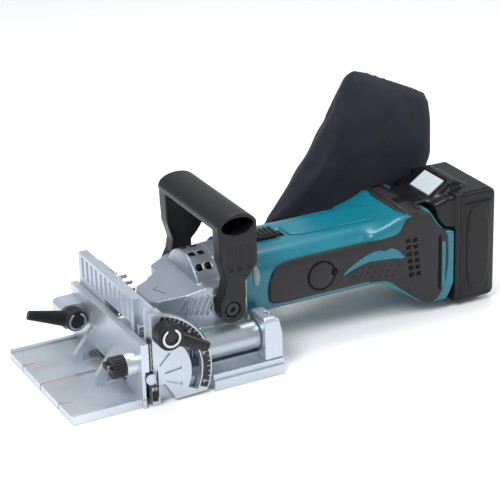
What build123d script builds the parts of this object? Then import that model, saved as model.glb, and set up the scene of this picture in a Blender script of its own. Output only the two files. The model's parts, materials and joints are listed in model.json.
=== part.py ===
"""Cordless biscuit (plate) joiner: base, tilting guide, rising fence, sprung motor carriage and battery.

Frame: +X runs back along the body to the battery, +Y to the tool's right, +Z up.
The origin lies on the sole plane, on the tool's mid-plane. All sizes are in millimetres.
"""
import os
from math import atan2, cos, pi, radians, sin

from build123d import *

# Driving dimensions: blade and plunge
BLADE_R = 50.0
BLADE_T = 4.0
BLADE_Z = 10.0
SPINDLE_X = 8.0
PLUNGE = 20.0

# Base
NOSE_X = -44.0
NOSE_T = 6.6
NOSE_HALF = 70.4
NOSE_H = 16.0
BASE_REAR = 72.8
BASE_HALF = 72.0
RAIL_FRONT = 9.7
RAIL_LEDGE = 8.6
RAIL_H = 13.6
DECK_T = 4.0
DECK_TOP = RAIL_H + DECK_T
CHAMBER_HALF = 57.0
SIDE_HALF = 63.5
FLOOR_T = 4.0
COVER_R = 56.0
NECK_R = 19.5
CHAMBER_FRONT = -35.0

# Slide rods and tubes that guide the plunge
ROD_R = 5.0
ROD_Y = 51.0
ROD_Z = 31.0
TUBE_R = 12.0
TUBE_FRONT = 10.0
TUBE_REAR = 56.0
BLOCK_FRONT = 57.0
BLOCK_REAR = 76.0
BLOCK_TOP = 50.0
TOWER_FRONT = -36.8
TOWER_REAR = -22.0
TOWER_TOP = 71.0

# Dust spout and bag
SPOUT_X = 104.0
SPOUT_Y = 60.0
SPOUT_Z = 40.0
SPOUT_R = 16.0
SPOUT_LEAN = 38.0

# Angle guide: pivot axis and quadrant
PIVOT_X = -45.0
PIVOT_Z = 25.0
GUIDE_FRONT = -45.3
GUIDE_T = 8.0
GUIDE_TOP = 82.5
CHANNEL_X = -40.0
EAR_R = 4.0
PIN_R = 2.5
QUAD_IN = 65.0
QUAD_OUT = 71.0
QUAD_LEFT = -42.6
QUAD_R = 53.0
ARC_R = 39.8
ARC_W = 9.0
BOLT_ANGLE = 70.7
ARC_LOW = -26.0
ARC_HIGH = 77.0
TURRET_X = -32.6
TURRET_Y = 29.0
TURRET_Z = 62.0
BOLT_X = PIVOT_X + ARC_R * cos(radians(BOLT_ANGLE))
BOLT_Z = PIVOT_Z + ARC_R * sin(radians(BOLT_ANGLE))

# Fence
FENCE_TIP = -110.6
FENCE_HALF = 68.0
FENCE_T = 6.0
WALL_FRONT = -52.2
WALL_TOP = 55.0
WALL_NEAR = -70.5
WALL_FAR = 69.5
WALL_RELIEF = -49.3
RELIEF_TOP = 31.0
GUSSET_Y = 22.0
KNOB_Y = -57.8
KNOB_Z = 35.5
KNOB_FRONT = -73.0
KNOB_REAR = -63.0
KNOB_R = 8.8
LEVER_X = -62.0
LEVER_Z = 35.5
LEVER_NEAR = 34.5
LUG_NEAR = 46.0
RACK_LOW = 31.5
RACK_HIGH = 64.0
PINION_TEETH = 8
PINION_OUT = 4.6
RACK_PITCH = pi * 1.0

# Gear housing, handle and motor body
MOTOR_Z = 62.0
COLLAR_R = 31.0
COLLAR_FRONT = 18.0
BODY_FRONT = 56.0
BODY_HALF = 36.0
BODY_LOW = 34.0
BODY_TOP = 90.0
SHELL = 3.0
GRIP_T = 1.2
HANDLE_X = 42.0
HANDLE_Z = 129.5
HANDLE_BOLT_X = 36.0
HANDLE_BOLT_Z = 58.7
LEG_IN = 43.0
LEG_OUT = 56.0
GEAR_R = 18.2
GEAR_RATIO = 3.1
GEAR_TOP = 58.6
BRUSH_X = 127.0
CAP_Z = 60.5
LOCK_Z = 44.0
LOCK_TRAVEL = 3.0
SWITCH_X = 96.0

# Battery
BATT_FRONT = 257.3
BATT_REAR = 297.5
BATT_HALF = 37.5
BATT_LOW = 4.5
BATT_TOP = 104.5
CASE_FRONT = 262.0
HOOD_X = 243.0
HOOD_Z = 99.0
HOOD_TOP = 111.5
HOOD_ANGLE = atan2(HOOD_TOP - HOOD_Z, CASE_FRONT - HOOD_X)
BUTTON_TRAVEL = 2.5
CELL_R = 8.3
CELL_L = 65.0

# Fits
RUN = 0.05
GAP = 0.3


# Shape helpers -------------------------------------------------------------------------------

def block(x0, x1, y0, y1, z0, z1):
    """A box from its six planes."""
    centre = Pos((x0 + x1) / 2, (y0 + y1) / 2, (z0 + z1) / 2)
    return centre * Box(abs(x1 - x0), abs(y1 - y0), abs(z1 - z0))


def rod_x(r, x0, x1, y, z):
    """A cylinder along X from x0 to x1."""
    return Pos((x0 + x1) / 2, y, z) * Rot(0, 90, 0) * Cylinder(r, abs(x1 - x0))


def rod_y(r, y0, y1, x, z):
    """A cylinder along Y from y0 to y1."""
    return Pos(x, (y0 + y1) / 2, z) * Rot(90, 0, 0) * Cylinder(r, abs(y1 - y0))


def rod_z(r, z0, z1, x=0.0, y=0.0):
    """A cylinder along Z from z0 to z1."""
    return Pos(x, y, (z0 + z1) / 2) * Cylinder(r, abs(z1 - z0))


def ring_x(r_out, r_in, x0, x1, y, z):
    """A tube along X."""
    return rod_x(r_out, x0, x1, y, z) - rod_x(r_in, x0 - 1, x1 + 1, y, z)


def ring_z(r_out, r_in, z0, z1, x=0.0, y=0.0):
    """A tube along Z."""
    return rod_z(r_out, z0, z1, x, y) - rod_z(r_in, z0 - 1, z1 + 1, x, y)


def side_prism(points, y0, y1):
    """An XZ outline pulled from y0 to y1."""
    face = Plane(origin=(0, y0, 0), x_dir=(1, 0, 0), z_dir=(0, -1, 0)) * make_face(
        Polyline(*points, close=True)
    )
    return extrude(face, amount=y1 - y0, dir=(0, 1, 0))


def plan_prism(points, z0, z1):
    """An XY outline pulled from z0 to z1."""
    face = Plane.XY.offset(z0) * make_face(Polyline(*points, close=True))
    return extrude(face, amount=z1 - z0)


def end_prism(points, x0, x1):
    """A YZ outline pulled from x0 to x1."""
    face = Plane(origin=(x0, 0, 0), x_dir=(0, 1, 0), z_dir=(1, 0, 0)) * make_face(
        Polyline(*points, close=True)
    )
    return extrude(face, amount=x1 - x0)


def polar(r, degrees):
    """A point in XZ at a radius and angle about the guide's pivot; 0 is rearward, 90 is up."""
    return PIVOT_X + r * cos(radians(degrees)), PIVOT_Z + r * sin(radians(degrees))


def arc_points(r, start, stop, steps=12):
    """Points along an arc about the guide's pivot."""
    return [polar(r, start + (stop - start) * i / steps) for i in range(steps + 1)]


def mirror_y(shape):
    """The same shape on the other side of the mid-plane."""
    return mirror(shape, about=Plane.XZ)


def both(shape):
    """A shape and its mirror image, as two solids."""
    return [shape, mirror_y(shape)]


def soften(shape, radius, pick):
    """Fillet the edges that pick returns; the shape stays sharp if they can't be rounded."""
    try:
        rounded = fillet(pick(shape), radius)
        return rounded if rounded.is_valid else shape
    except Exception:
        return shape


# Base ----------------------------------------------------------------------------------------

def base_casting():
    """Sole, side rails, front towers and rear wall, with the blade chamber between them."""
    body = block(NOSE_X + NOSE_T, BASE_REAR, -SIDE_HALF, SIDE_HALF, 0, RAIL_H)
    body -= block(CHAMBER_FRONT, 66, -CHAMBER_HALF, CHAMBER_HALF, FLOOR_T, RAIL_H + 1)
    body -= block(NOSE_X, CHAMBER_FRONT + 1, -46, 46, 6.5, 13.5)
    body -= rod_z(COVER_R, -1, FLOOR_T + 1) - block(-90, CHAMBER_FRONT + 1, -60, 60, -2, 6)
    for side in (-1, 1):
        outer, step = side * BASE_HALF, side * (BASE_HALF - 2)
        body += block(RAIL_FRONT, BASE_REAR, side * SIDE_HALF, outer, 0, RAIL_LEDGE)
        body += block(RAIL_FRONT, BASE_REAR, side * SIDE_HALF, step, RAIL_LEDGE, RAIL_H)
        ear = rod_y(EAR_R, side * 58, side * 64.4, PIVOT_X, PIVOT_Z)
        neck = side_prism([(PIVOT_X + 1.3, NOSE_H), (-37.4, NOSE_H), (-37.4, 13), (-24, 13), (TOWER_REAR, 29),
                           (PIVOT_X, 29), (PIVOT_X, 21), (PIVOT_X + 1.3, 18)],
                          min(side * 58, side * 64.4), max(side * 58, side * 64.4))
        tower = side_prism([(TOWER_FRONT, RAIL_H), (TOWER_REAR, RAIL_H), (TOWER_REAR, TOWER_TOP - 5),
                            (TOWER_REAR - 4, TOWER_TOP), (TOWER_FRONT + 1, TOWER_TOP),
                            (TOWER_FRONT, TOWER_TOP - 2)],
                           min(side * 44, side * 64.4), max(side * 44, side * 64.4))
        body += ear + neck + tower
        body -= rod_y(PIN_R, side * 56, side * 66, PIVOT_X, PIVOT_Z)
        body -= rod_x(ROD_R, TOWER_FRONT + 4, TOWER_REAR + 1, side * ROD_Y, ROD_Z)
    body -= rod_y(4, -66, -42, BOLT_X, BOLT_Z)
    body -= block(60, 80, 42, 62, 4, 11)
    return body


def base_deck():
    """Roof plate of the blade chamber, with the slot that the gear housing's neck slides in."""
    deck = block(CHAMBER_FRONT, 66, -CHAMBER_HALF, CHAMBER_HALF, RAIL_H, DECK_TOP)
    for side in (-1, 1):
        deck -= block(-40, -20, side * 42, side * 60, RAIL_H - 1, DECK_TOP + 1)
        deck -= block(BLOCK_FRONT - 0.1, 70, side * 41.9, side * 60, RAIL_H - 1, DECK_TOP + 1)
    front, wide = SPINDLE_X - PLUNGE - 0.5, NECK_R + 1
    slot = rod_z(wide, RAIL_H - 1, DECK_TOP + 1, SPINDLE_X) + rod_z(wide, RAIL_H - 1, DECK_TOP + 1, front)
    slot += block(front, SPINDLE_X, -wide, wide, RAIL_H - 1, DECK_TOP + 1)
    return deck - slot


def bottom_cover():
    """Removable plate under the blade."""
    plate = rod_z(COVER_R - 0.2, 0, 3) - block(-90, CHAMBER_FRONT + 1.2, -60, 60, -2, 6)
    for x, y in ((30, 30), (30, -30), (-26, 42), (-26, -42)):
        plate -= rod_z(2.2, -1, 4, x, y)
    return plate


def bottom_screws():
    """Four screws that hold the bottom cover to bosses of the base."""
    return [rod_z(2.1, 0.4, 3.0, x, y) for x, y in ((30, 30), (30, -30), (-26, 42), (-26, -42))]


def nose_plate():
    """Front contact plate with the slot that the blade comes out of."""
    plate = block(NOSE_X, NOSE_X + NOSE_T, -NOSE_HALF, NOSE_HALF, 0, NOSE_H)
    plate -= block(NOSE_X - 1, NOSE_X + NOSE_T + 1, -46, 46, 6.5, 13.5)
    for y in (-56, 56):
        plate -= block(NOSE_X - 1, NOSE_X + 2, y - 6, y + 6, 4, 12)
    return soften(plate, 1.2, lambda s: s.edges().filter_by(Axis.Z).group_by(Axis.X)[0])


def nose_pads():
    """Two rubber pads, set flush in the nose, that grip the work."""
    return [block(NOSE_X, NOSE_X + 2, y - 6, y + 6, 4, 12) for y in (-56, 56)]


def rear_blocks():
    """Two cast blocks that hold the rods' rear ends, each with a clamp screw hole on top."""
    shape = side_prism([(BLOCK_FRONT, RAIL_H), (BLOCK_REAR - 3.2, RAIL_H), (BLOCK_REAR - 3.2, 36),
                        (BLOCK_REAR - 6, 48), (BLOCK_REAR - 9, BLOCK_TOP), (BLOCK_FRONT, BLOCK_TOP)],
                       42, 69)
    shape -= rod_x(ROD_R, BLOCK_FRONT - 1, BLOCK_REAR, ROD_Y, ROD_Z)
    shape -= rod_z(2.4, 41, BLOCK_TOP + 1, 66, 56)
    shape = soften(shape, 4, lambda s: s.edges().filter_by(Axis.X).group_by(Axis.Z)[-1])
    return both(shape)


def slide_rods():
    """Two steel rods that the motor carriage slides on."""
    return both(rod_x(ROD_R, TOWER_FRONT + 4, BLOCK_REAR - 3.2, ROD_Y, ROD_Z))


def plunge_springs():
    """Two return springs round the rods, as closed coils' outer shape."""
    return both(ring_x(8.5, 6.5, TOWER_REAR + 0.1, TUBE_FRONT - 0.1, ROD_Y, ROD_Z))


def tilt_pins():
    """Pivot pins of the angle guide."""
    pin = rod_y(PIN_R, 58, QUAD_OUT + 0.5, PIVOT_X, PIVOT_Z)
    return both(pin + rod_y(4.5, QUAD_OUT + 0.2, 72.8, PIVOT_X, PIVOT_Z))


def angle_pointer():
    """Pointer beside the quadrant's scale."""
    foot = block(-44, -39.9, -72.2, -NOSE_HALF, 5, 13)
    finger = side_prism([(-41.1, 13), (-39.9, 13), (-39.9, 30), (-40.5, 33), (-41.1, 30)], -74.0, -73.2)
    arm = block(-42.5, -39.9, -74.0, -71.5, 9, 13.2)
    return foot + arm + finger


def tilt_bolt():
    """Bolt that the tilt lever clamps the quadrant with."""
    head = rod_y(3.4, -84, -64, BOLT_X, BOLT_Z)
    return head + rod_y(4, -64, -43.5, BOLT_X, BOLT_Z)


def turret_bracket():
    """Upright that carries the depth turret, and the pin that the turret turns on."""
    post = block(-36.8, -33, 23, 41, DECK_TOP, 76)
    post += block(-33, -29, 38, 41, DECK_TOP, 30)
    post = soften(post, 3, lambda s: s.edges().filter_by(Axis.X).group_by(Axis.Z)[-1])
    post -= rod_x(3, -44, -30, TURRET_Y, TURRET_Z)
    pin = rod_x(3, -36.8, -24, TURRET_Y, TURRET_Z) + rod_x(3.9, -24.1, -22.9, TURRET_Y, TURRET_Z)
    return [post, pin]


def spout_place(out=0.0):
    """The plane across the dust spout, a distance out along its axis."""
    lean = radians(SPOUT_LEAN)
    return Plane(origin=(SPOUT_X + out * sin(lean), SPOUT_Y, SPOUT_Z + out * cos(lean)),
                 x_dir=(0, 1, 0), z_dir=(sin(lean), 0, cos(lean)))


def dust_nozzle():
    """Chute from the blade chamber that turns up into a round spout."""
    def horn(wide, tall, r):
        mouth = Plane(origin=(BASE_REAR, 52, 9), x_dir=(0, 1, 0), z_dir=(1, 0, 0)) * Rectangle(wide, tall)
        return loft([mouth, spout_place() * Circle(r)]) + extrude(spout_place() * Circle(r), amount=12)
    return horn(26, 14, SPOUT_R) - horn(20, 8, SPOUT_R - 2.5)


def bag_collar():
    """Plastic ring that the bag's mouth is tied to."""
    ring = extrude(spout_place(4) * Circle(SPOUT_R + 2.5), amount=15)
    return ring - extrude(spout_place(3) * Circle(SPOUT_R + RUN), amount=17)


def dust_bag():
    """Soft bag: a plain pillow shape on the side away from the user."""
    outline = [(122, 62), (164, 122), (185, 151), (214, 193), (224, 193), (287, 163), (294, 153),
               (296.5, 134), (297, 94), (262, 60), (200, 46), (140, 40)]
    middle = (222, 110)

    def section(y, shrink):
        plane = Plane(origin=(0, y, 0), x_dir=(1, 0, 0), z_dir=(0, -1, 0))
        points = [(middle[0] + (x - middle[0]) * shrink, middle[1] + (z - middle[1]) * shrink)
                  for x, z in outline]
        return plane * make_face(Polyline(*points, close=True))

    return loft([section(45, 0.8), section(64, 1.0), section(84, 0.8)], ruled=True)


# Angle guide ---------------------------------------------------------------------------------

def guide_plate():
    """Fluted upright plate that tilts, with the rack channel near one edge."""
    back = GUIDE_FRONT + GUIDE_T
    outline = [(-57, 27), (57, 27), (57, 34), (QUAD_IN, 34), (QUAD_IN, GUIDE_TOP), (-QUAD_IN, GUIDE_TOP),
               (-QUAD_IN, 34), (-57, 34)]
    plate = end_prism(outline, GUIDE_FRONT, back)
    plate -= block(GUIDE_FRONT - 1, CHANNEL_X, -62.8, -44, 20, GUIDE_TOP + 1)
    plate -= end_prism([(-38, 43), (14, 43), (14, 60), (-38, 60)], GUIDE_FRONT - 1, back + 1)
    plate -= block(-41, back + 1, -27, 27, 20, 67)
    for i in range(11):
        y = -40 + i * 9.4
        plate -= block(GUIDE_FRONT - 1, GUIDE_FRONT + 1.2, y, y + 5, 62, GUIDE_TOP - 2.5)
    return soften(plate, 2.5, lambda s: s.edges().filter_by(Axis.Y).group_by(Axis.Z)[-1])


def quadrant_left():
    """Near side plate: its arc slot rides on the tilt bolt and it carries the angle scale."""
    outline = [(QUAD_LEFT, 30), (QUAD_LEFT, 78.5), (-39, 78.5)]
    outline += arc_points(QUAD_R, 82, -24.5, 24)
    outline += [(-23.7, 1.8), (-32.9, 17.5), (-39, 17.5), (QUAD_LEFT, 21)]
    plate = side_prism(outline, -QUAD_OUT, -QUAD_IN)
    plate += rod_y(EAR_R, -QUAD_OUT, -QUAD_IN, PIVOT_X, PIVOT_Z)
    half = ARC_W / 2
    slot = arc_points(ARC_R - half, ARC_LOW, ARC_HIGH, 24) + arc_points(ARC_R + half, ARC_HIGH, ARC_LOW, 24)
    plate -= side_prism(slot, -QUAD_OUT - 1, -QUAD_IN + 1)
    plate -= rod_y(PIN_R + RUN, -QUAD_OUT - 1, -QUAD_IN + 1, PIVOT_X, PIVOT_Z)
    for angle, inner, outer in ((48, 12, 25), (8, 12, 27), (-22, 14, 29)):
        low, high = polar(inner, angle), polar(outer, angle)
        wide = (sin(radians(angle)) * 1.4, -cos(radians(angle)) * 1.4)
        rib = [(low[0] - wide[0] * 0.5, low[1] - wide[1] * 0.5), (high[0] - wide[0], high[1] - wide[1]),
               (high[0] + wide[0], high[1] + wide[1]), (low[0] + wide[0] * 0.5, low[1] + wide[1] * 0.5)]
        plate -= side_prism(rib, -QUAD_OUT - 1, -QUAD_OUT + 1.2)
    return plate


def quadrant_right():
    """Far side arm of the guide, a plain rounded lug."""
    plate = side_prism([(QUAD_LEFT, 20), (QUAD_LEFT, 50), (-38, 54), (-29, 50), (-25, 40), (-31, 26), (-38, 19)],
                       QUAD_IN, QUAD_OUT)
    plate += rod_y(EAR_R, QUAD_IN, QUAD_OUT, PIVOT_X, PIVOT_Z)
    return plate - rod_y(PIN_R + RUN, QUAD_IN - 1, QUAD_OUT + 1, PIVOT_X, PIVOT_Z)


def angle_scale():
    """Scale strip on the quadrant's rim."""
    band = arc_points(QUAD_R - 1.2, -22, 78, 24) + arc_points(QUAD_R - 7.4, 78, -22, 24)
    return side_prism(band, -QUAD_OUT - 0.5, -QUAD_OUT)


def height_rack():
    """Toothed bar that the fence's pinion climbs."""
    face = KNOB_Y + PINION_OUT + 0.4
    rear = CHANNEL_X - 0.3
    bar = block(GUIDE_FRONT + 0.2, rear, face, face + 2.8, RACK_LOW, RACK_HIGH)
    z = KNOB_Z - 0.5 * RACK_PITCH
    while z + 1 < RACK_HIGH:
        bar += end_prism([(face + 0.1, z - 0.8), (face - 1.7, z - 0.3), (face - 1.7, z + 0.3),
                          (face + 0.1, z + 0.8)], GUIDE_FRONT + 0.2, rear)
        z += RACK_PITCH
    return bar


# Fence ---------------------------------------------------------------------------------------

def fence_plate():
    """L-shaped fence: flat plate, upright wall, two gussets and the clamp's lug, cleared for the blade."""
    flat = block(FENCE_TIP, WALL_RELIEF, -FENCE_HALF, FENCE_HALF, 0, FENCE_T)
    for y in (-FENCE_HALF, FENCE_HALF - 4):
        flat += block(FENCE_TIP, WALL_FRONT, y, y + 4, FENCE_T, FENCE_T + 1.6)
    wall = block(WALL_FRONT, WALL_RELIEF, WALL_NEAR, WALL_FAR, 0, RELIEF_TOP)
    wall += block(WALL_FRONT, GUIDE_FRONT - GAP, WALL_NEAR, WALL_FAR, RELIEF_TOP, WALL_TOP)
    body = flat + wall
    for y in (-GUSSET_Y, GUSSET_Y):
        body += side_prism([(WALL_FRONT, FENCE_T), (-72, FENCE_T), (-72, 13), (-54, 35), (WALL_FRONT, 35)],
                           y - 2.5, y + 2.5)
    lug = block(-71, WALL_FRONT, LUG_NEAR, 66, 25, 46)
    body += soften(lug, 5, lambda s: s.edges().filter_by(Axis.Y).group_by(Axis.X)[0])
    body += rod_x(9.6, KNOB_REAR + 1, WALL_FRONT, KNOB_Y, KNOB_Z)
    body -= rod_z(BLADE_R + 6, FENCE_T + 0.2, 14.5, SPINDLE_X - PLUNGE)
    body -= block(-80, WALL_RELIEF + 1, -2.5, 2.5, -1, 14.5)
    body -= rod_x(2.6 + RUN, KNOB_REAR - 1, GUIDE_FRONT + 2, KNOB_Y, KNOB_Z)
    body -= rod_y(4 + RUN, LUG_NEAR - 2, 58.5, LEVER_X, LEVER_Z)
    for y in (-38, 0, 38):
        body -= block(FENCE_TIP - 1, FENCE_TIP + 3, y - 0.8, y + 0.8, -1, FENCE_T + 1)
    return body


def height_scale():
    """Height scale beside the quadrant's front edge."""
    return block(QUAD_LEFT - 2.3, QUAD_LEFT, -QUAD_OUT, -QUAD_IN, 31, 57)


def fence_gib():
    """Slide block behind the wall that keeps the fence square in the guide's channel."""
    return block(GUIDE_FRONT - GAP, CHANNEL_X - 0.3, -61.8, -54.8, 44, 54)


def fence_knob():
    """Knurled knob that turns the pinion."""
    knob = rod_x(KNOB_R, KNOB_FRONT, KNOB_REAR, KNOB_Y, KNOB_Z)
    for i in range(24):
        angle = radians(i * 15)
        y, z = KNOB_Y + KNOB_R * cos(angle), KNOB_Z + KNOB_R * sin(angle)
        knob -= rod_x(0.7, KNOB_FRONT - 1, KNOB_REAR + 1, y, z)
    knob += block(KNOB_FRONT - 2.5, KNOB_FRONT + 0.1, KNOB_Y - 9.6, KNOB_Y + 9.6, KNOB_Z - 2.2, KNOB_Z + 2.2)
    return knob - rod_x(2.6, KNOB_FRONT - 4, KNOB_REAR + 1, KNOB_Y, KNOB_Z)


def pinion_shaft():
    """Shaft from the knob through the wall, with the pinion in the guide's channel."""
    rear = CHANNEL_X - 0.3
    shaft = rod_x(2.6, KNOB_FRONT - 2, rear, KNOB_Y, KNOB_Z)
    for i in range(PINION_TEETH):
        tooth = end_prism([(2.4, -0.8), (PINION_OUT, -0.35), (PINION_OUT, 0.35), (2.4, 0.8)], -44.6, rear)
        shaft += Pos(0, KNOB_Y, KNOB_Z) * Rot(i * 360 / PINION_TEETH, 0, 0) * tooth
    return shaft


def fence_lever():
    """Clamp lever of the fence: hub and raised arm that points forward."""
    hub = rod_y(9.2, LEVER_NEAR, LUG_NEAR - GAP, LEVER_X, LEVER_Z)
    out = (-0.94, 0, 0.34)
    reach = Plane(origin=(LEVER_X - 7, 40, LEVER_Z + 2), x_dir=(0, 1, 0), z_dir=out)
    tip = Plane(origin=(LEVER_X - 41, 38, LEVER_Z + 14), x_dir=(0, 1, 0), z_dir=out)
    arm = loft([reach * Ellipse(4.5, 7), tip * Ellipse(2.8, 4)])
    return hub + arm - rod_y(4, LEVER_NEAR - 5, LUG_NEAR + 5, LEVER_X, LEVER_Z)


def fence_lever_bolt():
    """Clamp bolt that turns with the fence lever in the fence's lug."""
    return rod_y(4, LEVER_NEAR + 1, 58, LEVER_X, LEVER_Z)


def lever_ring(x, z, y_out):
    """Open retaining ring on the outer face of a lever's hub."""
    ring = rod_y(7.8, y_out - 1.4, y_out, x, z) - rod_y(6.0, y_out - 2, y_out + 1, x, z)
    return ring - block(x - 3, x + 3, y_out - 2, y_out + 1, z + 4, z + 12)


def tilt_lever():
    """Clamp lever of the angle guide."""
    hub = rod_y(11, -84, -QUAD_OUT - 0.8, BOLT_X, BOLT_Z)
    reach = Plane(origin=(BOLT_X + 6, -77, BOLT_Z - 3), x_dir=(0, 1, 0), z_dir=(0.88, 0, -0.47))
    tip = Plane(origin=(BOLT_X + 33, -80, BOLT_Z - 17.5), x_dir=(0, 1, 0), z_dir=(0.88, 0, -0.47))
    arm = loft([reach * Ellipse(5, 7), tip * Ellipse(2.6, 4)])
    return hub + arm - rod_y(3.4 + RUN, -90, -70, BOLT_X, BOLT_Z)


def depth_turret():
    """Six-step depth stop that turns on the bracket."""
    face = TURRET_X + 7
    turret = rod_x(10.5, TURRET_X, face, TURRET_Y, TURRET_Z)
    for i in range(1, 6):
        angle = radians(-90 + i * 60)
        turret += rod_x(2, face - 0.2, face + i * 2.2, TURRET_Y + 7 * cos(angle), TURRET_Z + 7 * sin(angle))
    for i in range(12):
        angle = radians(i * 30)
        turret -= rod_x(1.2, TURRET_X - 1, face + 1, TURRET_Y + 10.8 * cos(angle), TURRET_Z + 10.8 * sin(angle))
    return turret - rod_x(3 + RUN, TURRET_X - 1, face + 1, TURRET_Y, TURRET_Z)


# Motor carriage ------------------------------------------------------------------------------

def gear_housing():
    """Cast nose of the carriage: neck, sloping dome, motor collar, handle bosses and tube arms."""
    plan = [(-20, -8), (-20, 8), (-14, 20), (6, 35), (26, 41), (BODY_FRONT, 41), (BODY_FRONT, -41),
            (26, -41), (6, -35), (-14, -20)]
    dome = plan_prism(plan, 26, 80)
    dome &= side_prism([(-21, 34), (-21, 57), (-17, 62), (2, 69), (22, 75), (BODY_FRONT, 75),
                        (BODY_FRONT, 32), (0, 30)], -45, 45)
    dome = soften(dome, 3.5, lambda s: s.edges().group_by(Axis.Z)[-1] + s.edges().filter_by(
        lambda e: e.center().Z > 58 and e.length > 8))
    body = dome + rod_z(NECK_R, DECK_TOP + 0.6, 36, SPINDLE_X)
    body += rod_x(COLLAR_R, COLLAR_FRONT, BODY_FRONT, 0, MOTOR_Z)
    for side in (-1, 1):
        body += rod_y(12, side * 30, side * (LEG_IN - 0.1), HANDLE_BOLT_X, HANDLE_BOLT_Z)
        body += block(14, 54, side * 30, side * ROD_Y, ROD_Z - 9, ROD_Z + 9)
        body -= rod_x(TUBE_R, TUBE_FRONT - 1, TUBE_REAR + 1, side * ROD_Y, ROD_Z)
        body -= rod_y(3, side * 34, side * 46, HANDLE_BOLT_X, HANDLE_BOLT_Z)
    body -= rod_x(27, 26, BODY_FRONT + 1, 0, MOTOR_Z)
    body -= Pos(SPINDLE_X + 17, 0, MOTOR_Z) * Rot(0, 90, 0) * Cone(5.4, 8.8, 18)
    for r, low, high in ((19, 33, 56), (16, 26, 34), (17.5, DECK_TOP - 1, 26.5), (8.2, 50, 61)):
        body -= rod_z(r, low, high, SPINDLE_X)
    body -= ring_z(19, 9.4, 55, 59.2, SPINDLE_X)
    for row in range(2):
        for column in range(4):
            vent = Pos(24 + 8 * row, 0, 0) * block(-2.6, 2.6, -2.8, 2.8, 20, 40)
            body -= Pos(0, 0, MOTOR_Z) * Rot(28 * (column - 1.5), 0, 0) * vent
    body += rod_y(7.5, 24, 33, SPINDLE_X, LOCK_Z) - rod_z(19, 33, 56, SPINDLE_X)
    body -= rod_y(5.8, 36 - LOCK_TRAVEL, 46, SPINDLE_X, LOCK_Z) + rod_y(3 + RUN, 17, 40, SPINDLE_X, LOCK_Z)
    body -= rod_x(11.2, -30, TURRET_X + 28.1, TURRET_Y, TURRET_Z) + rod_x(9.6, -30, 6, TURRET_Y, TURRET_Z)
    return body - rod_x(2.5, 0, 28, TURRET_Y, 55) - rod_x(5.4, -16, 7, TURRET_Y, 55)


def slide_tubes():
    """Two tubes that run on the rods."""
    return both(ring_x(TUBE_R, ROD_R + RUN, TUBE_FRONT, TUBE_REAR, ROD_Y, ROD_Z))


def stop_screw():
    """Adjusting screw that meets the depth turret, with its hex nut."""
    nut = Pos(3, TURRET_Y, 55) * Rot(0, 90, 0) * extrude(RegularPolygon(4.6, 6), amount=3.5)
    return rod_x(2.5, -3.5, 28, TURRET_Y, 55) + nut


def handle_loop():
    """Hollow D-handle: an oval grip tube and two flat legs."""
    def oval(grow, y0, y1):
        face = Plane(origin=(HANDLE_X, y0, HANDLE_Z), x_dir=(1, 0, 0), z_dir=(0, -1, 0)) * Ellipse(
            17 + grow, 10 + grow)
        return extrude(face, amount=y1 - y0, dir=(0, 1, 0))
    leg_outline = [(25.5, 129), (26.5, 100), (31, 84), (29, 74), (25, 66), (25, 58.7), (47, 58.7), (48, 70),
                   (48, 82), (54, 88), (59, 95), (59, 129)]
    body = oval(0, -LEG_OUT, LEG_OUT)
    for side in (-1, 1):
        low, high = sorted((side * LEG_IN, side * LEG_OUT))
        body += side_prism(leg_outline, low, high)
        body += rod_y(11.5, low, high, HANDLE_BOLT_X, HANDLE_BOLT_Z)
    body -= oval(-3, -LEG_OUT - 1, LEG_OUT + 1)
    for side in (-1, 1):
        body -= rod_y(3.1, side * 40, side * 60, HANDLE_BOLT_X, HANDLE_BOLT_Z)
        body -= rod_y(6.6, side * 51, side * 60, HANDLE_BOLT_X, HANDLE_BOLT_Z)
        for x in (34.5, 42.5, 50.5):
            low, high = sorted((side * (LEG_OUT - 1.5), side * (LEG_OUT + 1)))
            body -= block(x - 2.6, x + 2.6, low, high, 92, 114)
    return body


def handle_bolts():
    """Socket bolts that hold the handle to the gear housing."""
    bolt = rod_y(3, 34, 51, HANDLE_BOLT_X, HANDLE_BOLT_Z) + rod_y(5.5, 51, 55, HANDLE_BOLT_X, HANDLE_BOLT_Z)
    return both(bolt - rod_y(2.6, 52.5, 56, HANDLE_BOLT_X, HANDLE_BOLT_Z))


def barrel(grow):
    """Motor body's main barrel, a rounded box along X; grow moves its skin out."""
    width, height = 2 * (BODY_HALF + grow), BODY_TOP - BODY_LOW + 2 * grow
    face = Plane(origin=(BODY_FRONT, 0, (BODY_TOP + BODY_LOW) / 2), x_dir=(0, 1, 0), z_dir=(1, 0, 0))
    return extrude(face * RectangleRounded(width, height, 18 + grow), amount=160)


def tail(grow):
    """Flared rear of the motor body, down to the battery seat; grow moves its skin out."""
    outline = [(176, 86), (190, 89), (207, 95), (232, 96), (241, 82), (248, 74), (257, 72), (257, 24),
               (250, 9.5), (232, 9.5), (221, 15), (208, 24), (187, 38), (176, 40)]
    if grow < 0:
        outline = [(179, 83), (191, 86), (208, 92), (230, 93), (238, 80), (246, 71), (254, 69), (254, 24),
                   (248, 12.5), (233, 12.5), (223, 17.5), (209, 27), (188, 41), (179, 43)]
    face = Plane(origin=(170, 0, 52), x_dir=(0, 1, 0), z_dir=(1, 0, 0))
    tube = extrude(face * RectangleRounded(2 * (BODY_HALF + 1 + grow), 100 + 2 * grow, 14 + grow), amount=100)
    return tube & side_prism(outline, -50, 50)


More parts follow.
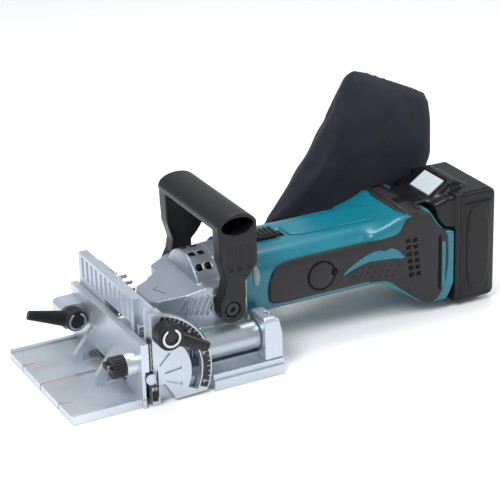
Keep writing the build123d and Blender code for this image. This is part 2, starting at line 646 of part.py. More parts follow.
def motor_housing():
    """Hollow motor body, split on the mid-plane into its two halves."""
    inside = barrel(-SHELL) - block(0, BODY_FRONT + 2, -50, 50, 0, 120)
    inside = inside & block(0, 200, -50, 50, 0, 120)
    body = barrel(0) + tail(0) - inside - tail(-SHELL)
    body &= block(BODY_FRONT, 258, -60, 60, 0, 120)
    body -= rod_x(27, BODY_FRONT - 1, 60, 0, MOTOR_Z)
    body -= block(SWITCH_X - 14, SWITCH_X + 14, -7, 7, 85, 95)
    body -= rod_y(9, -60, 60, BRUSH_X, CAP_Z)
    for row in range(6):
        for column in range(2):
            x, z = 209 + column * 6.5 + row * 0.7, 72 - row * 6
            body -= block(x, x + 4, -60, 60, z - 1.6, z + 1.6)
    for side in (-1, 1):
        low, high = sorted((side * 19.7, side * 23.3))
        body -= block(250.7, 258, low, high, 19, 80)
    return body


def half(shape, side):
    """One side of a shape, cut on the mid-plane."""
    return shape & (block(0, 300, -60, 0, -20, 150) if side < 0 else block(0, 300, 0, 60, -20, 150))


def grip_outline():
    """Side view of the soft grip that wraps the body, in XZ."""
    return [(78.5, 45), (80, 62), (84, 74), (92, 80), (140, 81), (182, 80), (200, 76), (206, 66),
            (198, 70), (181, 71), (170, 64), (146, 56), (150, 48), (168, 47), (186, 41), (180, 36),
            (84, 36)]


def grip(side):
    """Soft overmould on one side of the barrel."""
    skin = barrel(GRIP_T) - barrel(0) - tail(0)
    low, high = sorted((side * 20, side * 60))
    skin &= side_prism(grip_outline(), low, high)
    skin -= rod_y(13.3, -60, 60, BRUSH_X, CAP_Z)
    return skin & block(60, 204, -60, 60, 30, 95)


def brush_cover(side):
    """Round cover over one carbon brush."""
    low, high = sorted((side * (BODY_HALF - SHELL + 0.2), side * (BODY_HALF + 1.6)))
    cap = rod_y(9, low, high, BRUSH_X, CAP_Z)
    low, high = sorted((side * (BODY_HALF + 0.02), side * (BODY_HALF + 1.6)))
    cap += rod_y(13, low, high, BRUSH_X, CAP_Z)
    low, high = sorted((side * (BODY_HALF + 0.9), side * (BODY_HALF + 3)))
    return cap - block(BRUSH_X + 7, BRUSH_X + 15, low, high, CAP_Z - 3, CAP_Z + 1)


def carbon_brushes():
    """Two carbon brushes against the commutator, each in its square holder."""
    brush = block(BRUSH_X - 3.4, BRUSH_X + 3.4, 12, 26, MOTOR_Z - 3.9, MOTOR_Z + 3.9)
    brush -= rod_x(12.1, BRUSH_X - 8, BRUSH_X + 8, 0, MOTOR_Z)
    holder = block(BRUSH_X - 5, BRUSH_X + 5, 15, 31, MOTOR_Z - 5, MOTOR_Z + 5)
    holder -= block(BRUSH_X - 3.5, BRUSH_X + 3.5, 14, 32, MOTOR_Z - 4, MOTOR_Z + 4)
    return both(brush) + both(holder)


def stator():
    """Field magnets in their yoke."""
    return ring_x(24.6, 19.5, 67, 113, 0, MOTOR_Z)


def motor_bearings():
    """Ball bearings of the armature, front and rear."""
    return [ring_x(13, 5 + RUN, 32, 40, 0, MOTOR_Z), ring_x(10, 4 + RUN, 141, 148, 0, MOTOR_Z)]


def bearing_seats():
    """Inner frames that carry the armature's bearings, and the ring under the spindle's lower bearing."""
    front = ring_x(27, 13, 33, 39, 0, MOTOR_Z)
    rear = block(141, 148, -32, 32, MOTOR_Z - 14, MOTOR_Z + 14) - rod_x(10, 140, 149, 0, MOTOR_Z)
    return [front, rear, ring_z(17.5, 7.2, DECK_TOP + 1, 25.9, SPINDLE_X)]


def switch_module():
    """Main switch and its circuit block."""
    return block(156, 192, -14, 14, 48, 74)


def terminal_block():
    """Battery contact block inside the seat."""
    return block(226, 244, -16, 16, 26, 66)


def armature():
    """Armature shaft with its bevel pinion's plain pitch cone, laminated core and commutator."""
    shaft = rod_x(5, SPINDLE_X + 22, 141, 0, MOTOR_Z) + rod_x(4, 140, 150, 0, MOTOR_Z)
    shaft += Pos(SPINDLE_X + 17, 0, MOTOR_Z) * Rot(0, 90, 0) * Cone(11 / GEAR_RATIO, 23 / GEAR_RATIO, 12)
    core = rod_x(18.5, 70, 110, 0, MOTOR_Z)
    for i in range(12):
        core -= Pos(0, 0, MOTOR_Z) * Rot(i * 30, 0, 0) * block(69, 111, -1, 1, 14, 20)
    return shaft + core + rod_x(12, 119, 135, 0, MOTOR_Z)


def fan():
    """Cooling fan on the armature."""
    disc = rod_x(23.5, 60.5, 62, 0, MOTOR_Z) + rod_x(9, 54, 62, 0, MOTOR_Z)
    for i in range(9):
        disc += Pos(0, 0, MOTOR_Z) * Rot(i * 40, 0, 0) * block(55, 61, -0.9, 0.9, 8, 23)
    return disc - rod_x(5, 50, 66, 0, MOTOR_Z)


def spindle():
    """Upright spindle that carries the blade."""
    return rod_z(6, 4.5, 60, SPINDLE_X) + rod_z(8, 12.6, 15, SPINDLE_X)


def spindle_bearings():
    """Lower ball bearing and upper bush."""
    return [ring_z(16, 6 + RUN, 26, 33.5, SPINDLE_X), ring_z(8.2, 6 + RUN, 52.5, 60.5, SPINDLE_X)]


def bevel_gear():
    """Crown gear on the spindle, drawn as its plain pitch cone, with the lock slots in its rim."""
    top = GEAR_TOP - (GEAR_R - 10) / GEAR_RATIO
    gear = rod_z(GEAR_R, 41, top) + Pos(0, 0, (top + GEAR_TOP) / 2) * Cone(GEAR_R, 10, GEAR_TOP - top)
    gear -= rod_z(9.8, 51.5, 62) + rod_z(6, 38, 54)
    for i in range(4):
        gear -= Rot(0, 0, i * 90) * Pos(0, GEAR_R, 45) * Box(6.6, 5, 9)
    return Pos(SPINDLE_X, 0, 0) * gear


def blade():
    """Saw blade with carbide-tipped teeth and four relief slots."""
    disc = rod_z(BLADE_R - 4, BLADE_Z - 1.4, BLADE_Z + 1.4)
    for i in range(6):
        low, high = radians(i * 60), radians(i * 60 + 16)
        tooth = [(42 * cos(low - 0.12), 42 * sin(low - 0.12)), (BLADE_R * cos(low), BLADE_R * sin(low)),
                 (BLADE_R * 0.97 * cos(high), BLADE_R * 0.97 * sin(high)),
                 (42 * cos(high + 0.2), 42 * sin(high + 0.2))]
        disc += plan_prism(tooth, BLADE_Z - 1.4, BLADE_Z + 1.4)
        tip = plan_prism([(44 * cos(low), 44 * sin(low)), (BLADE_R * cos(low), BLADE_R * sin(low)),
                          (BLADE_R * cos(low + 0.04), BLADE_R * sin(low + 0.04)),
                          (44 * cos(low + 0.05), 44 * sin(low + 0.05))],
                         BLADE_Z - BLADE_T / 2, BLADE_Z + BLADE_T / 2)
        disc += tip
    for i in range(4):
        disc -= Rot(0, 0, 45 + i * 90) * block(28, 36, -2, 2, 5, 15)
    return Pos(SPINDLE_X, 0, 0) * (disc - rod_z(6, 0, 20))


def blade_flanges():
    """Inner flange above the blade and lock nut below it."""
    return [ring_z(15, 6, BLADE_Z + 1.4, 12.6, SPINDLE_X), ring_z(14, 6, 5, BLADE_Z - 1.4, SPINDLE_X)]


def shaft_lock():
    """Button on the far side that drops a pin into the crown gear's rim."""
    return rod_y(3, 18.7, 37, SPINDLE_X, LOCK_Z) + rod_y(5.5, 36.2, 40, SPINDLE_X, LOCK_Z)


def switch_slider():
    """Slide switch on top of the body."""
    knob = block(SWITCH_X - 11, SWITCH_X + 8, -8.6, 8.6, BODY_TOP + 0.2, BODY_TOP + 3)
    for i in range(4):
        knob += block(SWITCH_X - 8 + 4 * i, SWITCH_X - 6 + 4 * i, -7, 7, BODY_TOP + 2.9, BODY_TOP + 4.4)
    return knob + block(SWITCH_X - 7, SWITCH_X + 7, -5, 5, 87.2, BODY_TOP + 0.4)


# Battery -------------------------------------------------------------------------------------

def slope_prism(along0, along1, out0, out1, half_width):
    """A block on the hood's slope, from its distances along the slope and out of it."""
    corners = [(along0, out0), (along1, out0), (along1, out1), (along0, out1)]
    points = [(HOOD_X + a * cos(HOOD_ANGLE) - o * sin(HOOD_ANGLE),
               HOOD_Z + a * sin(HOOD_ANGLE) + o * cos(HOOD_ANGLE)) for a, o in corners]
    return side_prism(points, -half_width, half_width)


def battery_case():
    """Main case of the battery, open towards its cover."""
    case = block(CASE_FRONT, BATT_REAR, -BATT_HALF, BATT_HALF, BATT_LOW, BATT_TOP)
    case = soften(case, 6, lambda s: s.edges().filter_by(Axis.Y).group_by(Axis.X)[-1])
    case = soften(case, 3, lambda s: s.edges().filter_by(Axis.X))
    case += side_prism([(CASE_FRONT, BATT_TOP - 1), (CASE_FRONT, HOOD_TOP), (268, HOOD_TOP - 0.5),
                        (279, BATT_TOP - 1)], -22, 22)
    for side in (-1, 1):
        low, high = sorted((side * (BATT_HALF - 0.1), side * (BATT_HALF + 1)))
        case += block(266, 292, low, high, 12, 94)
    case -= slope_prism(0.7, 20.0, -3.4 - BUTTON_TRAVEL, 8, 15.3)
    return case - block(CASE_FRONT - 1, BATT_REAR - 1.6, -BATT_HALF + 1.8, BATT_HALF - 1.8,
                        BATT_LOW + 1.6, BATT_TOP - 1.6)


def battery_cover():
    """Front cover with the slide rails and the hood that holds the release button."""
    cover = block(BATT_FRONT, CASE_FRONT, -BATT_HALF, BATT_HALF, BATT_LOW, BATT_TOP)
    cover += side_prism([(242.6, 83), (249, 75), (BATT_FRONT + 1, 73), (BATT_FRONT + 1, BATT_TOP - 3),
                         (250, 101), (238, 97.5)], -34, 34)
    cover += side_prism([(226, 96.6), (236, 96.6), (242, 90), (CASE_FRONT, 90), (CASE_FRONT, HOOD_TOP),
                         (HOOD_X, HOOD_Z), (228, 98.5)], -22, 22)
    for side in (-1, 1):
        low, high = sorted((side * 20, side * 23))
        cover += block(251, BATT_FRONT + 0.5, low, high, 20, 73)
    return cover - slope_prism(0.7, 20.0, -3.4 - BUTTON_TRAVEL, 8, 15.3)


def battery_cells():
    """Ten round cells in two columns."""
    cells = []
    for column in range(2):
        for row in range(5):
            x = CASE_FRONT + CELL_R + 0.3 + column * (2 * CELL_R + 0.2)
            z = BATT_LOW + 12.3 + row * 19
            cells.append(rod_y(CELL_R, -CELL_L / 2, CELL_L / 2, x, z))
    return cells


def battery_button():
    """Release button in the hood."""
    return slope_prism(1.1, 19.4, -3.1, 0.8, 14.8)


# Write every node ----------------------------------------------------------------------------

def build_nodes():
    """Every named piece of the joiner."""
    shell = motor_housing()
    return {
        "base_casting": base_casting(),
        "base_deck": base_deck(),
        "bottom_cover": bottom_cover(),
        "bottom_cover_screws": bottom_screws(),
        "nose_plate": nose_plate(),
        "nose_pads": nose_pads(),
        "rear_blocks": rear_blocks(),
        "slide_rods": slide_rods(),
        "plunge_springs": plunge_springs(),
        "tilt_pins": tilt_pins(),
        "angle_pointer": angle_pointer(),
        "tilt_bolt": tilt_bolt(),
        "turret_bracket": turret_bracket(),
        "dust_nozzle": dust_nozzle(),
        "bag_collar": bag_collar(),
        "dust_bag": dust_bag(),
        "guide_plate": guide_plate(),
        "quadrant_left": quadrant_left(),
        "quadrant_right": quadrant_right(),
        "angle_scale": angle_scale(),
        "height_rack": height_rack(),
        "fence_plate": fence_plate(),
        "height_scale": height_scale(),
        "fence_gib": fence_gib(),
        "fence_knob": fence_knob(),
        "pinion_shaft": pinion_shaft(),
        "fence_lever": fence_lever(),
        "fence_lever_bolt": fence_lever_bolt(),
        "fence_lever_ring": lever_ring(LEVER_X, LEVER_Z, LEVER_NEAR),
        "tilt_lever": tilt_lever(),
        "tilt_lever_ring": lever_ring(BOLT_X, BOLT_Z, -84),
        "depth_turret": depth_turret(),
        "gear_housing": gear_housing(),
        "slide_tubes": slide_tubes(),
        "stop_screw": stop_screw(),
        "handle_loop": handle_loop(),
        "handle_bolts": handle_bolts(),
        "motor_housing_left": half(shell, -1),
        "motor_housing_right": half(shell, 1),
        "grip_left": grip(-1),
        "grip_right": grip(1),
        "brush_covers": [brush_cover(-1), brush_cover(1)],
        "carbon_brushes": carbon_brushes(),
        "stator": stator(),
        "bearing_seats": bearing_seats(),
        "switch_module": switch_module(),
        "terminal_block": terminal_block(),
        "armature": armature(),
        "fan": fan(),
        "spindle": spindle(),
        "ball_bearings": motor_bearings() + spindle_bearings(),
        "bevel_gear": bevel_gear(),
        "blade": blade(),
        "blade_flanges": blade_flanges(),
        "shaft_lock": shaft_lock(),
        "switch_slider": switch_slider(),
        "battery_case": battery_case(),
        "battery_cover": battery_cover(),
        "battery_cells": battery_cells(),
        "battery_button": battery_button(),
    }


os.makedirs("parts", exist_ok=True)
for name, shape in build_nodes().items():
    if isinstance(shape, list):
        shape = Compound(children=[solid for piece in shape for solid in piece.solids()])
    export_step(shape, f"parts/{name}.step")
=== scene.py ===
import json
import math

import bmesh
import bpy
from mathutils import Matrix, Vector, noise
from mathutils.bvhtree import BVHTree


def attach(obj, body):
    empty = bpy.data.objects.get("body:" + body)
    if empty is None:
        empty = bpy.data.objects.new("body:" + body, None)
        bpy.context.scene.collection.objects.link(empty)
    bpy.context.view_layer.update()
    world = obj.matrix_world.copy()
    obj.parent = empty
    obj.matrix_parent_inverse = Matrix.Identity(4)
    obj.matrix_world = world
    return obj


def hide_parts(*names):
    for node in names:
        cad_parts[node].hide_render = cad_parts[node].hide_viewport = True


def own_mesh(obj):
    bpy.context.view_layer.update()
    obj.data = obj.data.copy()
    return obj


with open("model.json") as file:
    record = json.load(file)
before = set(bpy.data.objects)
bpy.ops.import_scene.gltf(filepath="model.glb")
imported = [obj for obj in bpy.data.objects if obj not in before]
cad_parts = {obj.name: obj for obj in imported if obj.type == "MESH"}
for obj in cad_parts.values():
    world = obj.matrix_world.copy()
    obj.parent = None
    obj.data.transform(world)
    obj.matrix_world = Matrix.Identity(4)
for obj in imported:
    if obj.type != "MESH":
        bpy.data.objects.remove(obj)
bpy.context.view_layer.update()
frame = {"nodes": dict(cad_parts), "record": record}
nodes = frame["nodes"]
MM = 0.001


# Materials -----------------------------------------------------------------------------------

def tone(red, green, blue):
    """A linear colour from screen values."""
    return tuple((c / 255 / 12.92) if c < 10 else ((c / 255 + 0.055) / 1.055) ** 2.4
                 for c in (red, green, blue)) + (1.0,)


def shade(colour, factor):
    """A lighter or darker colour."""
    return tuple(min(1.0, c * factor) for c in colour[:3]) + (1.0,)


def finish(name, colour, rough, metal=0.0, vary=0.10, grain=1200, bump=0.15, depth=0.00004, edge=0.25,
           round_off=0.0004, coat=0.0, streak=None, weave=False, sheen=0.0, shine=0.5):
    """A procedural material: cloudy colour, fine grain, edges paled towards white and softened corners."""
    mat = bpy.data.materials.new(name)
    mat.use_nodes = True
    tree = mat.node_tree
    add, link = tree.nodes.new, tree.links.new
    bsdf = tree.nodes["Principled BSDF"]
    bsdf.inputs["Metallic"].default_value = metal
    bsdf.inputs["Specular IOR Level"].default_value = shine
    if coat:
        bsdf.inputs["Coat Weight"].default_value = coat
        bsdf.inputs["Coat Roughness"].default_value = 0.12
    if sheen:
        bsdf.inputs["Sheen Weight"].default_value = sheen
        bsdf.inputs["Sheen Roughness"].default_value = 0.5
    place = add("ShaderNodeTexCoord")
    cloud = add("ShaderNodeTexNoise")
    cloud.inputs["Scale"].default_value = 38
    cloud.inputs["Detail"].default_value = 5
    link(place.outputs["Object"], cloud.inputs["Vector"])
    ramp = add("ShaderNodeValToRGB")
    ramp.color_ramp.elements[0].position, ramp.color_ramp.elements[1].position = 0.3, 0.72
    ramp.color_ramp.elements[0].color = shade(colour, 1 - vary)
    ramp.color_ramp.elements[1].color = shade(colour, 1 + vary)
    link(cloud.outputs["Fac"], ramp.inputs["Fac"])
    fine = add("ShaderNodeTexNoise")
    fine.inputs["Scale"].default_value = grain
    fine.inputs["Detail"].default_value = 3
    if streak:
        stretch = add("ShaderNodeMapping")
        stretch.inputs["Scale"].default_value = streak
        link(place.outputs["Object"], stretch.inputs["Vector"])
        link(stretch.outputs["Vector"], fine.inputs["Vector"])
    else:
        link(place.outputs["Object"], fine.inputs["Vector"])
    corner = add("ShaderNodeBevel")
    corner.samples = 4
    corner.inputs["Radius"].default_value = round_off
    flat = add("ShaderNodeNewGeometry")
    turn = add("ShaderNodeVectorMath")
    turn.operation = "DOT_PRODUCT"
    link(corner.outputs["Normal"], turn.inputs[0])
    link(flat.outputs["Normal"], turn.inputs[1])
    # Colour pales towards white where the softened corner normal turns away from the face normal.
    edge_paling = add("ShaderNodeMapRange")
    edge_paling.inputs["From Min"].default_value, edge_paling.inputs["From Max"].default_value = 0.99, 0.80
    edge_paling.inputs["To Max"].default_value = edge
    link(turn.outputs["Value"], edge_paling.inputs["Value"])
    blend = add("ShaderNodeMix")
    blend.data_type = "RGBA"
    pale = tuple(c + (1 - c) * 0.35 for c in colour[:3]) + (1.0,)
    blend.inputs[7].default_value = pale
    link(edge_paling.outputs["Result"], blend.inputs[0])
    link(ramp.outputs["Color"], blend.inputs[6])
    link(blend.outputs[2], bsdf.inputs["Base Color"])
    gloss = add("ShaderNodeMapRange")
    gloss.inputs["To Min"].default_value = max(0.02, rough - 0.07)
    gloss.inputs["To Max"].default_value = min(1.0, rough + 0.07)
    link(fine.outputs["Fac"], gloss.inputs["Value"])
    link(gloss.outputs["Result"], bsdf.inputs["Roughness"])
    relief = add("ShaderNodeBump")
    relief.inputs["Strength"].default_value = bump
    relief.inputs["Distance"].default_value = depth
    height = fine.outputs["Fac"]
    if weave:
        threads = []
        for direction in ("X", "Z"):
            thread = add("ShaderNodeTexWave")
            thread.wave_type = "BANDS"
            thread.bands_direction = direction
            thread.inputs["Scale"].default_value = 330
            thread.inputs["Distortion"].default_value = 0.6
            link(place.outputs["Object"], thread.inputs["Vector"])
            threads.append(thread)
        cross = add("ShaderNodeMath")
        cross.operation = "MULTIPLY"
        link(threads[0].outputs["Fac"], cross.inputs[0])
        link(threads[1].outputs["Fac"], cross.inputs[1])
        height = cross.outputs["Value"]
    link(height, relief.inputs["Height"])
    link(corner.outputs["Normal"], relief.inputs["Normal"])
    link(relief.outputs["Normal"], bsdf.inputs["Normal"])
    return mat


CAST = finish("cast_alloy", tone(188, 197, 207), 0.36, metal=0.75, vary=0.05, grain=1500, bump=0.35, edge=0.5)
DOME = finish("painted_casting", tone(160, 170, 180), 0.34, metal=0.70, vary=0.05, grain=1700, bump=0.3,
              edge=0.45, round_off=0.0008)
SHEET = finish("milled_plate", tone(198, 206, 214), 0.34, metal=0.75, vary=0.05, grain=900, bump=0.25, edge=0.5,
               streak=(0.12, 1.0, 1.0))
STEEL = finish("bright_steel", tone(196, 200, 206), 0.26, metal=1.0, vary=0.06, grain=1400, bump=0.2, edge=0.4,
               round_off=0.0003, streak=(1.0, 0.1, 1.0))
SPRING = finish("spring_steel", tone(150, 154, 160), 0.34, metal=1.0, vary=0.08, grain=1500)
TEAL = finish("teal_shell", tone(0, 104, 121), 0.30, vary=0.06, grain=2300, bump=0.22, edge=0.30,
              round_off=0.0009, coat=0.08)
BLACK = finish("moulded_black", tone(20, 20, 23), 0.36, vary=0.10, grain=2300, bump=0.3, edge=0.20,
               round_off=0.0007, shine=0.32)
# RECESS_SHADE is painted shade: a near-black colour laid over vents, slots, holes, the cap's groove ring and
# notch for the dark inside of these openings and recesses.
RECESS_SHADE = finish("painted_recess_shade", tone(6, 6, 8), 0.6, vary=0.15, grain=2000, bump=0.2, edge=0.05, shine=0.15)
GRIP = finish("soft_grip", tone(40, 38, 41), 0.46, vary=0.08, grain=3000, bump=0.5, edge=0.14, round_off=0.0008,
              shine=0.25)
TUBE = finish("satin_tube", tone(172, 180, 188), 0.32, metal=0.8, vary=0.04, grain=700, bump=0.08, edge=0.3)
GUNMETAL = finish("dark_steel", tone(46, 47, 50), 0.32, metal=0.6, vary=0.08, grain=1500, edge=0.5)
RUBBER = finish("rubber_pad", tone(34, 35, 38), 0.78, vary=0.12, grain=1800, bump=0.5)
PACK = finish("battery_shell", tone(15, 15, 17), 0.30, vary=0.10, grain=2300, bump=0.25, edge=0.22,
              round_off=0.0012, shine=0.3)
WHITE = finish("button_white", tone(184, 192, 200), 0.25, vary=0.03, grain=2500, bump=0.05, edge=0.1, coat=0.3)
LABEL = finish("pale_window", tone(120, 138, 146), 0.30, vary=0.04, grain=2000, bump=0.1)
PRINT = finish("scale_black", tone(24, 25, 29), 0.5, vary=0.08, grain=2200, bump=0.12)
INK = finish("scale_white", tone(232, 234, 236), 0.5, vary=0.04, grain=2600, bump=0.1, edge=0.0)
RED = finish("mark_red", tone(206, 60, 88), 0.5, vary=0.06, grain=2600, bump=0.1, edge=0.0)
CLOTH = finish("bag_cloth", tone(38, 40, 49), 0.85, vary=0.16, grain=900, bump=0.55, depth=0.00012, edge=0.0,
               round_off=0.001, weave=True, sheen=0.06, shine=0.1)
CARBON = finish("brush_carbon", tone(38, 38, 40), 0.7, vary=0.15, grain=1400, bump=0.4)
WRAP = finish("cell_wrap", tone(70, 120, 96), 0.4, vary=0.05, grain=1600)

SLOTS = {"casting": CAST, "cover_plate": SHEET, "steel": STEEL, "spring_ring": STEEL, "black_plastic": BLACK,
         "scale_print": PRINT, "housing_plastic": TEAL, "grip_rubber": GRIP, "rubber": RUBBER,
         "bag_cloth": CLOTH, "button_plastic": WHITE, "brush_carbon": CARBON, "cell_wrap": WRAP}
OWN = {"gear_housing": DOME, "fence_plate": SHEET, "nose_plate": CAST, "battery_case": PACK,
       "battery_cover": PACK, "slide_tubes": TUBE, "handle_loop": BLACK, "brush_covers": BLACK,
       "handle_bolts": GUNMETAL,
       "fence_lever_bolt": GUNMETAL, "tilt_bolt": GUNMETAL, "depth_turret": TUBE, "tilt_pins": CAST}


def dress(obj, mat):
    """Puts one material on every slot of an object."""
    if not obj.material_slots:
        obj.data.materials.append(mat)
    for place in obj.material_slots:
        place.link = "OBJECT"
        place.material = mat


for part in frame["record"]["subparts"]:
    name = part["node"]
    dress(nodes[name], OWN.get(name, SLOTS[part["material_slot"]]))


# Mesh helpers --------------------------------------------------------------------------------

def to_object(name, bm, mat, body, smooth=True):
    """A finished bmesh as an object that rides a body; mat is one material or a list of them."""
    bmesh.ops.recalc_face_normals(bm, faces=bm.faces)
    mesh = bpy.data.meshes.new(name)
    bm.to_mesh(mesh)
    bm.free()
    for face in mesh.polygons:
        face.use_smooth = smooth
    for one in mat if isinstance(mat, list) else [mat]:
        mesh.materials.append(one)
    obj = bpy.data.objects.new(name, mesh)
    bpy.context.scene.collection.objects.link(obj)
    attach(obj, body)
    return obj


def settle(obj):
    """Applies an object's modifiers."""
    bpy.context.view_layer.update()
    graph = bpy.context.evaluated_depsgraph_get()
    mesh = bpy.data.meshes.new_from_object(obj.evaluated_get(graph))
    obj.modifiers.clear()
    obj.data = mesh
    return obj


def moulded(name, members, mat, body, voxel=0.9, passes=4):
    """CAD nodes as one cast or moulded skin: its corners are rounded off and its joins flow together."""
    bm = bmesh.new()
    for member in members:
        bm.from_mesh(nodes[member].data)
    bmesh.ops.remove_doubles(bm, verts=bm.verts, dist=1e-6)
    obj = to_object(name, bm, mat, body)
    remesh = obj.modifiers.new("skin", "REMESH")
    remesh.mode, remesh.voxel_size, remesh.use_smooth_shade = "VOXEL", voxel * MM, True
    soft = obj.modifiers.new("soft", "SMOOTH")
    soft.factor, soft.iterations = 0.5, passes
    settle(obj)
    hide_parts(*members)
    return obj


def relax(obj, chosen, rounds):
    """Smooths only the chosen corner points of a skin."""
    bm = bmesh.new()
    bm.from_mesh(obj.data)
    some = [v for v in bm.verts if chosen(v.co / MM)]
    for _ in range(rounds):
        bmesh.ops.smooth_vert(bm, verts=some, factor=0.5, use_axis_x=True, use_axis_y=True, use_axis_z=True)
    bm.to_mesh(obj.data)
    bm.free()


def skin_of(*objects):
    """One search tree over several objects."""
    verts, faces = [], []
    for obj in objects:
        start = len(verts)
        verts += [v.co.copy() for v in obj.data.vertices]
        faces += [[start + i for i in face.vertices] for face in obj.data.polygons]
    return BVHTree.FromPolygons(verts, faces)


FACES = {"near": (Vector((0, 1, 0)), lambda u, v: Vector((u, -200, v)) * MM),
         "far": (Vector((0, -1, 0)), lambda u, v: Vector((u, 200, v)) * MM),
         "top": (Vector((0, 0, -1)), lambda u, v: Vector((u, v, 300)) * MM),
         "front": (Vector((1, 0, 0)), lambda u, v: Vector((-300, u, v)) * MM),
         "rear": (Vector((-1, 0, 0)), lambda u, v: Vector((400, u, v)) * MM)}


def inlay(name, outlines, face, skin, mat, body, lift=0.3, sink=0.5, step=3.0, even=None):
    """Thin patches with these outlines, in mm, laid over a skin as seen from one face.

    even is (u0, u1, v0, v1, depth): inside that window the patch is flat at that depth along the face's ray.
    """
    ray, start = FACES[face]
    bm = bmesh.new()
    for outline in outlines:
        bm.faces.new([bm.verts.new((u, v, 0)) for u, v in outline])
    low_u, high_u = min(v.co.x for v in bm.verts), max(v.co.x for v in bm.verts)
    low_v, high_v = min(v.co.y for v in bm.verts), max(v.co.y for v in bm.verts)
    for low, high, normal in ((low_u, high_u, (1, 0, 0)), (low_v, high_v, (0, 1, 0))):
        cut = low + step
        while cut < high - 0.2:
            bmesh.ops.bisect_plane(bm, geom=bm.verts[:] + bm.edges[:] + bm.faces[:], plane_no=normal,
                                   plane_co=(cut, cut, 0))
            cut += step
    bm.normal_update()
    missing = []
    for vert in bm.verts:
        spot, normal, _, _ = skin.ray_cast(start(vert.co.x, vert.co.y), ray)
        if even and even[0] < vert.co.x < even[1] and even[2] < vert.co.y < even[3]:
            spot = start(vert.co.x, vert.co.y)
            spot += ray * (even[4] * MM - spot.dot(ray))
        if spot is None:
            missing.append(vert)
        else:
            vert.co = spot - ray * lift * MM
    for vert in missing:
        near = [edge.other_vert(vert).co for edge in vert.link_edges if edge.other_vert(vert) not in missing]
        guess = start(vert.co.x, vert.co.y)
        deep = sum((co.dot(ray) for co in near), 0.0) / len(near) if near else 0.0
        vert.co = guess - ray * guess.dot(ray) + ray * deep
    for one in bm.faces:
        one.normal_update()
        if one.normal.dot(ray) > 0:
            one.normal_flip()
    top = bm.faces[:]
    rim = [edge for edge in bm.edges if edge.is_boundary]
    wall = bmesh.ops.extrude_edge_only(bm, edges=rim)
    for vert in [g for g in wall["geom"] if isinstance(g, bmesh.types.BMVert)]:
        vert.co += ray * (lift + sink) * MM
    mesh = bpy.data.meshes.new(name)
    for one in top:
        one.smooth = True
    bm.to_mesh(mesh)
    bm.free()
    mesh.materials.append(mat)
    obj = bpy.data.objects.new(name, mesh)
    bpy.context.scene.collection.objects.link(obj)
    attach(obj, body)
    return obj


def oval(u, v, wide, tall, count=28):
    """An ellipse as a closed outline."""
    return [(u + wide * math.cos(2 * math.pi * i / count), v + tall * math.sin(2 * math.pi * i / count))
            for i in range(count)]


def box_outline(u0, u1, v0, v1):
    """A rectangle as a closed outline."""
    return [(u0, v0), (u1, v0), (u1, v1), (u0, v1)]


def smooth_line(points, rounds=2):
    """A closed outline with its corners cut round."""
    for _ in range(rounds):
        cut = []
        for (u0, v0), (u1, v1) in zip(points, points[1:] + points[:1]):
            cut += [(u0 * 0.8 + u1 * 0.2, v0 * 0.8 + v1 * 0.2), (u0 * 0.2 + u1 * 0.8, v0 * 0.2 + v1 * 0.8)]
        points = cut
    return points


def stroke(u0, v0, u1, v1, wide):
    """A straight line as a thin four-sided outline."""
    across = Vector((v0 - v1, u1 - u0)).normalized() * wide / 2
    return [(u0 - across.x, v0 - across.y), (u1 - across.x, v1 - across.y), (u1 + across.x, v1 + across.y),
            (u0 + across.x, v0 + across.y)]


def lathe(name, profile, centre, axis, mat, body, count=48):
    """A turned piece: profile of (radius, height) in mm, height along the axis from the centre."""
    bm = bmesh.new()
    turn = Vector((0, 0, 1)).rotation_difference(Vector(axis)).to_matrix()
    rings = []
    for radius, height in profile:
        rings.append([bm.verts.new(turn @ Vector((radius * math.cos(2 * math.pi * i / count),
                                                  radius * math.sin(2 * math.pi * i / count), height)) * MM
                                   + Vector(centre) * MM) for i in range(count)])
    for low, high in zip(rings, rings[1:]):
        for i in range(count):
            bm.faces.new((low[i], low[(i + 1) % count], high[(i + 1) % count], high[i]))
    bmesh.ops.remove_doubles(bm, verts=bm.verts, dist=1e-6)
    obj = to_object(name, bm, mat, body)
    obj.modifiers.new("split", "EDGE_SPLIT").split_angle = math.radians(40)
    return obj


def tube_along(bm, points, radius, sides=8, closed=False):
    """A round tube through points in mm, added to a bmesh."""
    rings = []
    count = len(points)
    side = None
    for i, point in enumerate(points):
        ahead = points[(i + 1) % count] if closed or i < count - 1 else point
        behind = points[i - 1] if closed or i else point
        along = (Vector(ahead) - Vector(behind)).normalized()
        side = (along.orthogonal() if side is None else side - along * side.dot(along)).normalized()
        other = along.cross(side)
        ring = []
        for k in range(sides):
            angle = 2 * math.pi * k / sides
            out = (side * math.cos(angle) + other * math.sin(angle)) * radius
            ring.append(bm.verts.new((Vector(point) + out) * MM))
        rings.append(ring)
    pairs = list(zip(rings, rings[1:])) + ([(rings[-1], rings[0])] if closed else [])
    for low, high in pairs:
        for k in range(sides):
            bm.faces.new((low[k], low[(k + 1) % sides], high[(k + 1) % sides], high[k]))
    if not closed:
        bm.faces.new(list(reversed(rings[0])))
        bm.faces.new(rings[-1])


def number(text, size, place, turn, mat, body):
    """A generic scale number as a thin raised mesh."""
    curve = bpy.data.curves.new("number_" + text, "FONT")
    curve.body, curve.size, curve.extrude = text, size * MM, 0.00004
    curve.align_x, curve.align_y = "CENTER", "CENTER"
    carrier = bpy.data.objects.new("carrier", curve)
    bpy.context.scene.collection.objects.link(carrier)
    bpy.context.view_layer.update()
    mesh = bpy.data.meshes.new_from_object(carrier.evaluated_get(bpy.context.evaluated_depsgraph_get()))
    bpy.data.objects.remove(carrier)
    mesh.transform(Matrix.Translation(Vector(place) * MM) @ turn)
    mesh.materials.clear()
    mesh.materials.append(mat)
    obj = bpy.data.objects.new("scale_number_" + text + "_" + body, mesh)
    bpy.context.scene.collection.objects.link(obj)
    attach(obj, body)


# Castings and levers -------------------------------------------------------------------------

